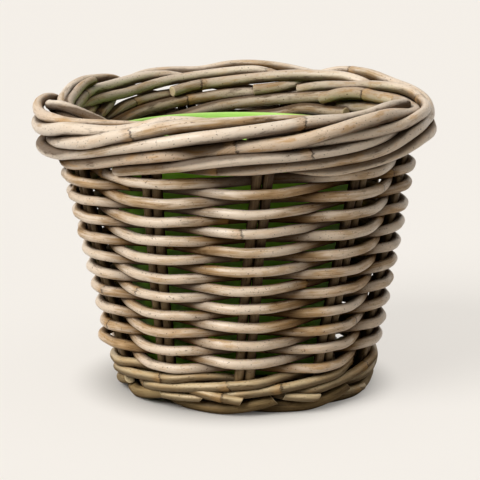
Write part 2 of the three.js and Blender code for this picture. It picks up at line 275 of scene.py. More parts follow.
@dataclass
class Cane:
    """One round cane: its course, its thickness and how its bark has aged.

    tone, warmth and the darkening for dirt and painted shade may each be one number or one for
    each point of the line. reference is the direction of the side that the painted side shade
    spares, one for all or one for each point.
    """

    OVAL = 0.014     # share by which the section is out of round
    NODE_LEAN = 0.9  # how far a node's ring leans along the cane
    NODE_TURN = 2.1  # turn from one node's lean to the next, in radians
    NODE_WIDTH = 2.6
    GROOVE = 0.055   # depth of the groove beside a node, as a share of the radius
    GROOVE_PLACE = 1.3
    GROOVE_WIDTH = 0.6
    END_MARGIN = 6.0  # no node stands closer to a cut end
    FAR = 60.0       # a distance to the nearest node that is far enough to show nothing
    BEVEL = 0.45     # how far the cut face stands past the last ring
    CUT_RINGS = (0.93, 0.62)  # sizes of the rings of the cut face, from its edge inwards

    name: str
    line: Array
    reference: Array
    diameter: float
    seed: int
    tone: Array | float = 0.0
    warmth: Array | float = 0.3
    soil_and_shade: Array | float = 0.0
    around: int = 16
    uneven: float = 0.012
    node_spacing: float = 150.0
    slant: tuple[float, float] = (0.0, 0.0)
    swell: float = 0.05

    def node_places(self, total: float) -> Array:
        """Distances along the cane where its nodes are."""
        rng = np.random.default_rng(self.seed + 77)
        steps = rng.uniform(0.75, 1.25, int(total / self.node_spacing) + 3) * self.node_spacing
        places = np.cumsum(steps) - rng.uniform(0.2, 0.9) * self.node_spacing
        return places[(places > self.END_MARGIN) & (places < total - self.END_MARGIN)]

    def node_leans(self, turn: Array, count: int) -> Array:
        """How far each node's ring lies along the cane from its middle, round its turn."""
        phase = turn[None, :] + self.seed + self.NODE_TURN * np.arange(count)[:, None]
        return self.NODE_LEAN * np.cos(phase)

    def radii(self, along: Array, turn: Array, places: Array) -> Array:
        """Radius at each point of the grid.

        Formula: half the diameter, times slow waves along and an oval that turns slowly, with a
        low swelling at each node and a fine groove beside it.
        """
        radius = np.full((len(along), len(turn)), self.diameter / 2)
        radius *= 1 + self.uneven * waves(along, self.seed + 1, 12, 140)[:, None]
        turned = 3 * waves(along, self.seed + 2, 60, 300)[:, None]
        radius *= 1 + self.OVAL * np.cos(2 * turn[None, :] + turned)
        for place, lean in zip(places, self.node_leans(turn, len(places))):
            near = along[:, None] - place - lean[None, :]
            groove = self.GROOVE * np.exp(-(((near - self.GROOVE_PLACE) / self.GROOVE_WIDTH) ** 2))
            radius *= 1 + self.swell * np.exp(-((near / self.NODE_WIDTH) ** 2)) - groove
        return radius

    def surface(self) -> Surface:
        """The closed skin of the cane.

        Formula: at each point of the line a ring about it, then at each end the rings of the cut
        face and its middle point. A slant tips the cut faces, and the first rings with them.
        """
        line, around, cuts = shifted(self.line), self.around, len(self.CUT_RINGS)
        along = arc_length(line)
        turn = np.linspace(0, 2 * np.pi, around, endpoint=False)
        tangent = unit(np.gradient(line, axis=0))
        first = unit(self.reference - (self.reference * tangent).sum(axis=1, keepdims=True) * tangent)
        second = np.cross(tangent, first)
        places = self.node_places(along[-1])

        # the rings of the line, with those of the cut faces before and after them
        rings = np.r_[[0] * cuts, np.arange(len(line)), [len(line) - 1] * cuts]
        rows = len(rings)
        past = np.zeros(rows)
        past[:cuts], past[-cuts:] = -self.BEVEL, self.BEVEL
        size = np.ones(rows)
        size[:cuts], size[-cuts:] = self.CUT_RINGS[::-1], self.CUT_RINGS
        first, second, tangent = first[rings], second[rings], tangent[rings]
        centre = line[rings] + past[:, None] * tangent
        ring = self.radii(along, turn, places)[rings] * size[:, None]
        far = along[rings] + past
        slant = np.zeros(rows)
        slant[: cuts + 1], slant[-cuts - 1 :] = self.slant

        cos, sin = np.cos(turn), np.sin(turn)
        direction = cos[:, None] * first[:, None] + sin[:, None] * second[:, None]
        points = centre[:, None] + ring[:, :, None] * direction
        points += (slant[:, None] * ring * cos)[:, :, None] * tangent[:, None]
        length = np.repeat(far[:, None], around, axis=1)
        straight = np.stack([length, ring * cos, ring * sin], axis=-1)
        straight_poles = np.array([[far[0], 0, 0], [far[-1], 0, 0]])
        offset = [self.seed * 37.0 % 4000.0, self.seed * 11.0 % 300.0, self.seed * 7.0 % 300.0]
        joint = np.full((rows, around), self.FAR)
        if len(places):
            leans = self.node_leans(turn, len(places))
            gaps = far[:, None, None] - places[None, :, None] - leans[None]
            nearest = np.abs(gaps).argmin(axis=1)
            joint = np.take_along_axis(gaps, nearest[:, None], axis=1)[:, 0]
        per_row = [
            np.interp(far, along, np.broadcast_to(np.asarray(value, float), along.shape))
            for value in (self.tone, self.warmth, self.soil_and_shade)
        ]
        bark_tone_and_shade = np.repeat(np.stack(per_row, axis=1)[:, None], around, axis=1)
        quads, caps = tube_faces(rows, around)

        def carried(values: Array, poles: Sequence) -> Array:
            """Values of the rings' points, then those of the two poles."""
            flat = values.reshape(rows * around, -1)
            return np.concatenate([flat if flat.shape[1] > 1 else flat[:, 0], poles])

        return Surface(
            points=carried(points, centre[[0, -1]]),
            quads=quads,
            triangles=caps,
            values={
                "straight": carried(straight, straight_poles) + offset,
                "joint": carried(np.clip(joint, -self.FAR, self.FAR), [self.FAR, self.FAR]),
                "cut": carried(np.repeat(past != 0, around).astype(float), [1.0, 1.0]),
                "outer": carried(np.tile(cos, rows), [0.0, 0.0]),
                "bark_tone_and_shade": carried(bark_tone_and_shade, bark_tone_and_shade[[0, -1], 0]),
            },
        )


# Finishes.

def linear(code: str) -> tuple[float, float, float, float]:
    """An sRGB hex colour as linear red, green, blue and alpha."""
    values = [int(code[k : k + 2], 16) / 255 for k in (0, 2, 4)]
    red, green, blue = (v / 12.92 if v <= 0.04045 else ((v + 0.055) / 1.055) ** 2.4 for v in values)
    return (red, green, blue, 1.0)


@dataclass(frozen=True)
class Value:
    """What a node puts out. Arithmetic with it adds Math nodes."""

    shader: "Shader"
    socket: bpy.types.NodeSocket

    def __add__(self, other: object) -> "Value":
        return self.shader.math("ADD", self, other)

    def __sub__(self, other: object) -> "Value":
        return self.shader.math("SUBTRACT", self, other)

    def __rsub__(self, other: object) -> "Value":
        return self.shader.math("SUBTRACT", other, self)

    def __mul__(self, other: object) -> "Value":
        return self.shader.math("MULTIPLY", self, other)

    def clamped(self) -> "Value":
        """The same value, which its Math node now holds between 0 and 1."""
        self.socket.node.use_clamp = True
        return self

    def other(self, output: int | str) -> "Value":
        """Another output of the same node."""
        return Value(self.shader, self.socket.node.outputs[output])


class Shader:
    """The node tree of a material or of the world, filled by one call for each node."""

    def __init__(self, owner: bpy.types.Material | bpy.types.World) -> None:
        """Start with an empty tree."""
        owner.use_nodes = True
        self.owner = owner
        self.tree = owner.node_tree
        self.tree.nodes.clear()

    def add(
        self, kind: str, inputs: dict | None = None, output: int | str = 0, **settings: object
    ) -> Value:
        """Add a node.

        Args:
            kind: node type, such as ShaderNodeTexNoise.
            inputs: socket name or number to a value or to a Value that is linked to it.
            output: the output that is wanted.
            settings: properties of the node.

        Returns:
            The output.
        """
        node = self.tree.nodes.new(kind)
        for key, value in settings.items():
            setattr(node, key, value)
        for key, value in (inputs or {}).items():
            self.feed(node.inputs[key], value)
        return Value(self, node.outputs[output])

    def feed(self, socket: bpy.types.NodeSocket, value: object) -> None:
        """Link a Value to a socket, or set the socket's own value, where a text is a hex colour."""
        if isinstance(value, Value):
            self.tree.links.new(value.socket, socket)
        else:
            socket.default_value = linear(value) if isinstance(value, str) else value

    def attribute(self, name: str, output: str = "Fac") -> Value:
        """What the mesh carries under a name."""
        return self.add("ShaderNodeAttribute", output=output, attribute_name=name)

    def math(self, operation: str, *values: object) -> Value:
        """Output of a Math node."""
        return self.add("ShaderNodeMath", dict(enumerate(values)), operation=operation)

    def ramp(self, value: Value, low: float, high: float, start: float = 0.0, end: float = 1.0) -> Value:
        """A smooth step of a value from low to high, scaled to run from start to end."""
        inputs = {"Value": value, "From Min": low, "From Max": high, "To Min": start, "To Max": end}
        return self.add("ShaderNodeMapRange", inputs, interpolation_type="SMOOTHSTEP")

    def mix(self, share: Value, first: object, second: object) -> Value:
        """A share of the second colour over the first."""
        return self.add("ShaderNodeMix", {0: share, 6: first, 7: second}, 2, data_type="RGBA")

    def noise(self, place: Value, cycles: tuple[float, float, float], detail: float, rough: float) -> Value:
        """Noise with a number of cycles for each unit of the place, one number for each direction."""
        stretched = self.add("ShaderNodeVectorMath", {0: place, 1: cycles}, operation="MULTIPLY")
        inputs = {"Vector": stretched, "Scale": 1.0, "Detail": detail, "Roughness": rough}
        return self.add("ShaderNodeTexNoise", inputs)

    def bump(self, height: Value, strength: float, distance: float) -> Value:
        """A normal that leans with a height of 0 to 1, which stands for a distance in metres."""
        return self.add("ShaderNodeBump", {"Strength": strength, "Distance": distance, "Height": height})

    def seen(self) -> Value:
        """1 for what the camera and shiny surfaces see, 0 for what gives light."""
        camera = self.add("ShaderNodeLightPath", output="Is Camera Ray")
        return self.math("MAXIMUM", camera, camera.other("Is Glossy Ray"))

    def finish(self, surface: Value) -> bpy.types.Material | bpy.types.World:
        """Link the surface to the tree's output, and hand back what the tree belongs to."""
        kind = "World" if isinstance(self.owner, bpy.types.World) else "Material"
        self.feed(self.tree.nodes.new(f"ShaderNodeOutput{kind}").inputs["Surface"], surface)
        return self.owner


@dataclass(frozen=True)
class CaneFinish:
    """Rattan cane: bark on, weathered grey over tan, satin where it is whole.

    The eye reads fine fibres along the cane, brown blotches, dark rings at the nodes, dark specks
    and a greyed light skin on the outside. Painted shade darkens the sides where the next canes
    press and the crevices where a neighbour stands within the reach. The reach is in millimetres.
    """

    name: str
    dark: str = "38210b"
    middle: str = "a5855b"
    light: str = "dbc9b3"
    warm: str = "b0854a"
    ring: str = "2c1a0c"
    speck: str = "4a2e15"
    inside: str = "c9b58f"
    roughness: float = 0.34
    grime_and_shade: float = 0.85
    crevice_shade: float = 0.85
    reach: float = 9.0

    def material(self) -> bpy.types.Material:
        """The material. The scales of its patterns are worked out from millimetres on the cane."""
        s = Shader(bpy.data.materials.new(self.name))
        straight = s.attribute("straight", "Vector")
        joint, cut, outer = (s.attribute(name) for name in ("joint", "cut", "outer"))
        tone = s.add("ShaderNodeSeparateXYZ", {0: s.attribute("bark_tone_and_shade", "Vector")})
        # the third value darkens the bark for dirt and for painted shade
        warmth, soil_and_shade = tone.other(1), tone.other(2)
        # fibres about 1 mm wide and 40 mm long, finer ones of 0.4 mm, and then rounder spots
        fibre = s.noise(straight, (0.026, 0.85, 0.85), 3.0, 0.6)
        hair = s.noise(straight, (0.09, 2.6, 2.6), 2.0, 0.55)
        blotch = s.noise(straight, (0.016, 0.07, 0.07), 4.0, 0.62)
        patch = s.noise(straight, (0.05, 0.20, 0.20), 5.0, 0.7)
        grain = s.noise(straight, (0.60, 0.85, 0.85), 2.0, 0.5)
        wobble = s.noise(straight, (0.22, 0.45, 0.45), 4.0, 0.7)
        worn = fibre * 0.24 + blotch * 0.76 + (hair - 0.5) * 0.1 + tone * 0.16
        colour = s.mix(s.ramp(worn, 0.26, 0.46), self.dark, self.middle)
        colour = s.mix(s.ramp(worn, 0.40, 0.58), colour, self.light)
        tan = (s.ramp(patch, 0.50, 0.64) * (warmth + 0.3)).clamped()
        colour = s.mix(tan * 0.7, colour, self.warm)
        colour = s.mix(warmth * 0.4, colour, self.warm)
        # dirt and painted shade: a brown with a ragged edge paints the shade on the side where the next
        # canes press, and real dirt lies in patches
        side = s.ramp(outer + (patch - 0.5) * 1.1, -0.15, 0.7, 1.0, 0.0) * self.grime_and_shade
        dirt_and_shade = (soil_and_shade + side + s.ramp(patch, 0.28, 0.42, 0.45, 0.0)).clamped()
        # and painted shade in the crevices, where a neighbour stands closer than the reach
        open_share = s.add("ShaderNodeAmbientOcclusion", {"Distance": self.reach * MM}, "AO", samples=6)
        crevice_shade = s.ramp(open_share + (patch - 0.5) * 0.5, 0.1, 0.72, 1.0, 0.0) * self.crevice_shade
        dirt_and_shade = (dirt_and_shade + crevice_shade).clamped()
        # the dirt and the painted shade darken the bark
        colour = s.mix(dirt_and_shade * 0.85, colour, self.dark)
        # specks of 1 mm
        colour = s.mix(s.ramp(grain, 0.64, 0.71) * 0.8, colour, self.speck)
        # nodes: a broken, ragged dark ring, a warmer band before it and dark scratches along the cane
        edge = joint + (wobble - 0.5) * 9.0
        away = s.math("ABSOLUTE", edge - 1.2)
        broken = s.ramp(patch, 0.38, 0.52, 0.25, 1.0)
        line = s.ramp(away, 0.2, 1.3, 1.0, 0.0) * broken
        band = s.ramp(edge, -9.0, -1.0) * s.ramp(edge, 0.4, 1.6, 1.0, 0.0)
        scar = s.ramp(s.math("ABSOLUTE", edge), 2.0, 9.0, 1.0, 0.0) * s.ramp(hair, 0.54, 0.60)
        colour = s.mix(band * 0.4, colour, self.warm)
        colour = s.mix(scar * 0.5, colour, self.ring)
        colour = s.mix(line * 0.85, colour, self.ring)
        # the cut face: pale pith with pores of about 0.5 mm
        pores = s.add("ShaderNodeTexVoronoi", {"Vector": straight, "Scale": 1.7}, "Distance")
        pith = s.mix(s.ramp(pores, 0.12, 0.32, 0.65, 0.0), self.inside, self.dark)
        # the skin shines where it is whole, and it is matt at cut faces and where dirt and painted shade
        # lie
        matt = dirt_and_shade * 0.3 + self.roughness + s.ramp(worn, 0.40, 0.60, 1.0, 0.0) * 0.14 + cut * 0.2
        sheen = (1.0 - s.math("MAXIMUM", dirt_and_shade, cut)).clamped()
        height = fibre * 0.5 + hair * 0.25 - line * 0.35 + patch * 0.25
        surface = s.add("ShaderNodeBsdfPrincipled", {
            "Base Color": s.mix(cut, colour, pith),
            "Roughness": matt.clamped(),
            "IOR": 1.48,
            "Specular IOR Level": sheen * 0.42,
            "Normal": s.bump(height, 0.4, 0.0006),
        })
        return s.finish(surface)


@dataclass(frozen=True)
class LinerFinish:
    """Polypropylene, injection moulded: even lime green, low sheen, faint flow marks round it."""

    name: str = "lime_polypropylene"
    bright: str = "a6cf62"
    pale: str = "b0da74"
    deep_painted_green: str = "86c228"
    glow: float = 0.1

    def material(self) -> bpy.types.Material:
        """The material: flow marks of about 3 mm run round the wall, and the outside is deeper."""
        s = Shader(bpy.data.materials.new(self.name))
        place = s.add("ShaderNodeTexCoord", output="Object")
        skin = s.attribute("skin")
        flow = s.noise(place, (12.0, 12.0, 330.0), 3.0, 0.5)
        grain = s.noise(place, (1400.0, 1400.0, 1400.0), 2.0, 0.5)
        colour = s.mix(s.ramp(flow, 0.35, 0.65), self.bright, self.pale)
        # the outside is painted a deeper green, for light seen through the thin wall
        colour = s.mix(skin, colour, self.deep_painted_green)
        surface = s.add("ShaderNodeBsdfPrincipled", {
            "Base Color": colour,
            "Roughness": s.ramp(flow, 0.2, 0.8, 0.36, 0.46),
            "IOR": 1.49,
            "Specular IOR Level": 0.3,
            # painted glow on the inside, for the light that the thin wall lets through from behind
            "Emission Color": colour,
            "Emission Strength": (1.0 - skin) * self.glow,
            "Normal": s.bump(flow * 0.8 + grain * 0.2, 0.25, 0.0004),
        })
        return s.finish(surface)


@dataclass(frozen=True)
class StudioFinish:
    """Matt painted studio floor, plain and pale, whose glow only the camera and shiny surfaces see."""

    name: str = "studio_floor"
    paint: str = "f4efe8"
    lit: str = "c4c0ba"
    glow: float = 0.62
    strength: float = 1.24

    def material(self) -> bpy.types.Material:
        """The material."""
        s = Shader(bpy.data.materials.new(self.name))
        inputs = {"Base Color": self.lit, "Roughness": 0.9, "Specular IOR Level": 0.0}
        matt = s.add("ShaderNodeBsdfPrincipled", inputs)
        glow = s.add("ShaderNodeEmission", {"Color": self.paint, "Strength": self.strength})
        # under the basket and in a ring round its foot the floor gives no light of its own: under it the
        # floor keeps its real shade, and round the foot this paints a darker ring of shadow
        place = s.add("ShaderNodeTexCoord", output="Object")
        far = s.add("ShaderNodeVectorMath", {0: place}, "Value", operation="LENGTH")
        share = s.seen() * self.glow * s.ramp(far, 0.08, 0.132)
        return s.finish(s.add("ShaderNodeMixShader", {0: share, 1: matt, 2: glow}))


class Bark(Enum):
    """The ages and kinds of cane that the maker used."""

    WEAVER = CaneFinish("weathered_rattan_weaver")
    # the stakes' dark bark partly paints the shade in the gaps between the weavers
    STAKE = CaneFinish(
        "rattan_stake_dark_with_painted_shade",
        dark="1a1007", middle="55402a", light="8a7350", warm="6b4f2e", roughness=0.45, grime_and_shade=0.95,
    )
    BORDER = CaneFinish(
        "greyed_rattan_border",
        dark="362009", middle="aa8c64", light="decdb8", warm="b98d56", roughness=0.33, grime_and_shade=0.9,
    )
    FOOT = CaneFinish(
        "tan_rattan_foot",
        dark="352312", middle="a08258", light="cdb992", warm="a98049", roughness=0.4, grime_and_shade=0.8,
    )
    ARC = CaneFinish(
        "olive_rattan_arc",
        dark="34271a", middle="8d754a", light="b59c6c", warm="94764a", roughness=0.4, grime_and_shade=0.35,
    )


# The pieces.

class Workshop:
    """Turns canes into pieces of the scene, hangs them under the basket's empty and counts them."""

    def __init__(self) -> None:
        """Start with no pieces and make each material once."""
        self.count = 0
        self.materials = {bark: bark.value.material() for bark in Bark}

    def cane(self, cane: Cane, bark: Bark, slot: str, extra: bool = False) -> None:
        """Build a cane in place of the solid of the same name.

        Args:
            cane: the cane, named as its solid is.
            bark: its finish.
            slot: not used.
            extra: whether the cane stands for no solid of its own.
        """
        piece = cane.surface().build(f"round_{cane.name}")
        piece.data.materials.append(self.materials[bark])
        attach(piece, "basket")
        if not extra:
            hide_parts(cane.name)
        self.count += 1
        length = arc_length(cane.line)[-1]
        log.info("%s: %d faces, %.0f mm long", piece.name, len(piece.data.polygons), length)


def numbered(name: str, index: int) -> str:
    """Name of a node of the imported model."""
    return f"{name}_{index + 1:02d}"


def woven(start: float, end: float) -> Array:
    """Places along a woven cane: both sides of each pair and each middle between two pairs."""
    pairs = np.arange(math.floor(start), math.ceil(end) + 1)
    places = np.sort(np.concatenate([pairs - 0.5, pairs - FLANK, pairs + FLANK]))
    inside = places[(places > start + FLANK / 2) & (places < end - FLANK / 2)]
    return np.concatenate([[start], inside, [end]])


def evened(values: Array, reach: int) -> Array:
    """Columns averaged over their neighbours, with a rounded window, the ends held."""
    window = np.hanning(2 * reach + 3)[1:-1]
    window /= window.sum()
    padded = np.pad(values, ((reach, reach), (0, 0)), mode="edge")
    return np.stack([np.convolve(column, window, mode="valid") for column in padded.T], axis=1)


EAGERNESS = 1.3   # each push goes a little further than it should, to make up for the evening
STIFFNESS = 7     # points on each side over which a move is evened out


def settle(lines: list[Array], diameters: Sequence[float], rounds: int = 16) -> list[Array]:
    """Canes moved apart until they only touch, as canes do when they are pulled tight.

    Formula: each point is pushed off the nearest point of every other cane by half of what the two
    overlap, and the way it has moved is evened out along the cane, since a cane is stiff.

    Args:
        lines: courses of the canes.
        diameters: thickness of each cane.
        rounds: how often the push is repeated.

    Returns:
        The courses after the last round.
    """
    moves = [np.zeros_like(line) for line in lines]
    for _ in range(rounds):
        now = [line + move for line, move in zip(lines, moves)]
        for index, line in enumerate(now):
            push = np.zeros_like(line)
            for second, other in enumerate(now):
                if second == index:
                    continue
                touching = (diameters[index] + diameters[second]) / 2
                gaps = np.linalg.norm(line[:, None] - other[None], axis=2)
                nearest = gaps.argmin(axis=1)
                gap = gaps[np.arange(len(line)), nearest]
                away = (line - other[nearest]) / np.maximum(gap, 0.1)[:, None]
                push += away * (np.maximum(0, touching - gap) / 2)[:, None]
            moves[index] = evened(moves[index] + EAGERNESS * push, STIFFNESS)
    return [line + move for line, move in zip(lines, moves)]


CORNER = np.linspace(-0.06, 0.06, 9)   # the stretch over which a corner is rounded, in stakes


def stand(place: Array, sign: float, reach: float) -> Array:
    """How far a cane stands off the stakes: out at one pair, in at the next.

    Formula: level past a pair and straight to the other side of the next, with the corners
    rounded by the mean over a short stretch.

    Args:
        place: places along the cane in stakes.
        sign: 1 where the cane is out at even pairs, -1 where it is out at odd ones.
        reach: distance from the middle of the stakes to the middle of the cane.

    Returns:
        Distances, positive outwards.
    """
    near = np.asarray(place, float)[..., None] + CORNER
    pair = np.round(near)
    away = np.abs(near - pair)
    side = np.where(pair % 2 == 0, 1.0, -1.0)
    return sign * reach * (side * np.minimum(1, (0.5 - away) / (0.5 - FLANK))).mean(axis=-1)


@dataclass
class Stakes:
    """Ten long canes in five pairs, down one side, across the base and up the other."""

    diameter: float = 6.5
    shown: float = 7.5
    top: float = 201.0
    base_height: float = 12.8
    bend_start: float = 21.0  # height where a stake starts to bend in under the basket
    bend_reach: float = 8.6
    ramp: float = 14.0        # distance in which it takes its layer of the base
    splay: float = 0.45   # how far each cane of a pair stands off to its side
    wander: float = 0.3
    spacing: float = 2.5  # between the points of a cane's line, as in the other pieces

    @property
    def offset(self) -> float:
        """Half the distance between the two canes of a pair."""
        return (self.diameter + CLEARANCE) / 2

    def side(self, pair: int, side: int, cross: float, turn: float, layer: int) -> tuple[Array, Array]:
        """One side of a cane from its top to where it starts to cross the base.

        Args:
            pair: the pair of stakes it belongs to.
            side: -1 or 1, its place in the pair.
            cross: radius where the crossing starts.
            turn: direction of the crossing canes in degrees.
            layer: -1 for the lower layer of the crossing, 1 for the upper.

        Returns:
            Points and reference directions.
        """
        wall = np.linspace(self.top, self.bend_start, 6)[:-1]
        start, corner = self.bend_start, self.base_height
        inner = FORM.circle(corner) - self.bend_reach
        # the bend at the foot: a quadratic curve from the wall to the base
        t = np.linspace(0, 1, 5)
        weights = np.stack([(1 - t) ** 2, 2 * t * (1 - t), t**2], axis=1)
        bend_height = weights @ [start, corner, corner]
        bend_radius = weights @ [FORM.circle(start), FORM.circle(corner), inner]
        radius = np.concatenate([FORM.circle(wall), bend_radius, [cross + self.ramp]])
        height = np.concatenate([wall, bend_height, [corner]])
        angle = FORM.angle(pair, height)
        across = along_wall(angle)
        points = FORM.point(radius, angle, height) + side * self.offset * across
        last = FORM.angle(pair, corner)
        radial = along_wall(last)
        square = along_wall(FORM.angle(0, corner) + turn)
        mitre = unit(radial + square * math.copysign(1, float(square @ radial)))
        end = FORM.point(cross, last, corner + layer * self.offset)
        end += mitre * side * self.offset / (mitre @ radial)
        return np.vstack([points, end]), np.vstack([across, mitre])

    def build(self, shop: Workshop) -> None:
        """Build the ten canes."""
        # the pair where each starts and ends, direction of the crossing in degrees, and layer
        crossings = [(0, 5, 0, -1), (1, 4, 0, -1), (9, 6, 0, -1), (2, 8, 90, 1), (3, 7, 90, 1)]
        for index, (start, end, turn, layer) in enumerate(crossings):
            slope = abs(math.sin(math.radians(STAKE_STEP * start - turn)))
            middle = 4 * self.offset if turn == 0 else 2 * self.offset
            cross = middle / slope if slope > 0.01 else 4 * self.offset
            for side in (-1, 1):
                down, down_across = self.side(start, side, cross, turn, layer)
                up, up_across = self.side(end, -side, cross, turn, layer)
                points = np.vstack([down, up[::-1]])
                across = np.vstack([down_across, -up_across[::-1]])
                line, across = smooth_line(points, self.spacing, across)
                seed = 100 + 2 * index + side
                along = arc_length(line)
                out = np.cross(unit(np.gradient(line, axis=0)), across)
                line += across * (side * self.splay + self.wander * waves(along, seed, 20, 90))[:, None]
                # paler at the base, darker towards the border
                high = np.clip((line[:, 2] - 12) / 150, 0, 1)
                name = numbered("stake_cane", 2 * index + (side > 0))
                cane = Cane(
                    name, line, out, self.shown, seed, around=12, node_spacing=170,
                    tone=0.6 - 0.5 * high, warmth=0.3,
                    soil_and_shade=np.clip(0.1 + 0.35 * waves(along, seed + 9, 14, 60), 0, 1),
                )
                shop.cane(cane, Bark.STAKE, "stake_cane")


@dataclass
class BaseWeave:
    """Two canes that spiral out, one over the pairs that the other goes under."""

    diameter: float = 5.4
    inner: float = 46.0
    outer: float = 71.5
    pitch: float = 6.2
    spacing: float = 2.5
    stakes: Stakes = field(default_factory=Stakes)

    def build(self, shop: Workshop) -> None:
        """Build both canes."""
        reach = (self.stakes.diameter + self.diameter) / 2 + CLEARANCE
        turns = (self.outer - self.inner) / (2 * self.pitch)
        for weaver in range(2):
            start = weaver * PAIRS / 2
            place = np.arange(start, start + turns * PAIRS + 0.01, 0.04)
            radius = self.inner + 2 * self.pitch * (place - start) / PAIRS
            base = self.stakes.base_height
            height = base + stand(place, 1 if weaver == 0 else -1, reach)
            line, = resample(FORM.point(radius, FORM.angle(place, base), height), self.spacing)
            cane = Cane(
                numbered("base_weaver", weaver), line, UP, self.diameter, 60 + weaver, around=12,
                tone=-0.3, warmth=0.4,
            )
            shop.cane(cane, Bark.WEAVER, "weaver_cane")


@dataclass
class FootWale:
    """Three canes that close the foot, each before two pairs of stakes and behind one."""

    diameter: float = 6.4
    shown: float = 7.0
    low: float = 13.3
    high: float = 28.0
    spacing: float = 2.0
    # ends of canes that were cut off at the foot: place, height and distance out of the wall of
    # the first and last point, then thickness
    ends: tuple[tuple[tuple[float, ...], tuple[float, ...], float], ...] = (
        ((-1.08, 10.0, 5.5), (-0.5, 12.4, 6.5), 5.6),
        ((-0.62, 18.5, 6.0), (-0.03, 13.0, 11.5), 6.6),
        ((0.5, 14.0, 6.0), (0.87, 11.4, 12.0), 6.0),
        ((1.3, 8.8, 5.0), (1.74, 7.6, 10.0), 5.6),
    )
    bow: float = 1.2
    stakes: Stakes = field(default_factory=Stakes)

    def height(self, phase: Array) -> Array:
        """Height over one repeat of three pairs: a long rise in front and a short fall behind."""
        rising = self.low + (self.high - self.low) * (np.clip(phase, 0, 2) / 2) ** 0.9
        falling = self.high + (self.low - self.high) * np.clip(phase - 2, 0, 1) ** 1.5
        return np.where(phase <= 2, rising, falling)

    def build(self, shop: Workshop) -> None:
        """Build the three canes and the cut ends."""
        reach = (self.stakes.diameter + self.diameter) / 2 + 2 * CLEARANCE
        for index in range(3):
            start = index * (PAIRS - 1) + 3
            end = start + PAIRS - 1 if index < 2 else start + PAIRS + 2
            gap = CLEARANCE / math.radians(STAKE_STEP) / float(FORM.circle(self.low))
            place = woven(start + gap, end - gap)
            phase = (place - 0.5 + 3) % 3
            nearest = np.minimum(np.minimum(phase, np.abs(phase - 2)), 3 - phase)
            height = self.height(phase)
            offset = np.where(phase < 2, 1, -1) * reach * np.minimum(1, nearest / (0.5 - FLANK))
            angle = FORM.angle(place, height)
            points = FORM.point(FORM.circle(height) + offset, angle, height)
            line, = smooth_line(points, self.spacing)
            cane = Cane(
                numbered("foot_wale_cane", index), line, UP, self.shown, 30 + index,
                tone=0.2, warmth=0.4, soil_and_shade=0.05, node_spacing=95, swell=0.1,
            )
            shop.cane(cane, Bark.FOOT, "foot_cane")
        for index, (first, last, thickness) in enumerate(self.ends):
            share = np.linspace(0, 1, 24)
            place, height, off = np.linspace(first, last, len(share)).T
            bow = self.bow * np.sin(np.pi * share)
            line = FORM.point(FORM.circle(height) + off + bow, FORM.angle(place, height), height)
            cane = Cane(
                numbered("foot_cane_end", index), line, UP, thickness, 70 + index, tone=0.3, warmth=0.35,
                node_spacing=60, swell=0.08, slant=(0.3, 0.9 - 0.5 * (index % 2)),
            )
            shop.cane(cane, Bark.FOOT, "foot_cane", extra=True)


@dataclass
class FootArcs:
    """Ten thick canes: each comes from inside, lies on the floor and rises over the next."""

    diameter: float = 9.0
    shown: float = 8.8
    inner: float = 79.0
    outer: float = 95.4
    start_rise: float = 2.4
    end_rise: float = 7.3
    # in stakes: the length of an arc, how far before its pair it starts, and where it is down on
    # the floor, rises from it and is all the way out
    span: float = 1.65
    lead: float = 0.4
    down: float = 0.5
    rise: float = 1.0
    out: float = 1.5
    spacing: float = 1.8
    # arcs that are out of step, and by how many stakes
    shifts: dict[int, float] = field(default_factory=lambda: {8: -0.3, 9: 0.12, 0: 0.18})

    def build(self, shop: Workshop) -> None:
        """Build the ten arcs, a few of them out of step, as in the photo."""
        lines = []
        for index in range(PAIRS):
            place = np.linspace(0, self.span, 60)
            swing = np.sin(np.pi / 2 * np.minimum(1, place / self.out))
            radius = self.inner + (self.outer - self.inner) * swing
            before = np.maximum(0, 1 - place / self.down)
            after = np.maximum(0, (place - self.rise) / (self.span - self.rise))
            height = self.diameter / 2 + self.start_rise * before**2 + self.end_rise * after**1.5
            angle = FORM.angle(index - self.lead + place + self.shifts.get(index, 0.0), 0)
            line = FORM.point(radius, angle, 0)
            line[:, 2] = height
            lines.append(resample(line, self.spacing)[0])
        for index, line in enumerate(settle(lines, [self.diameter] * PAIRS)):
            line[:, 2] = np.maximum(line[:, 2], self.diameter / 2)
            cane = Cane(
                numbered("foot_arc", index), line, UP, self.shown, 200 + index, around=18,
                tone=-0.2, warmth=0.35, soil_and_shade=0.3, uneven=0.004, node_spacing=260, slant=(0.4, -0.5),
            )
            shop.cane(cane, Bark.ARC, "foot_cane")


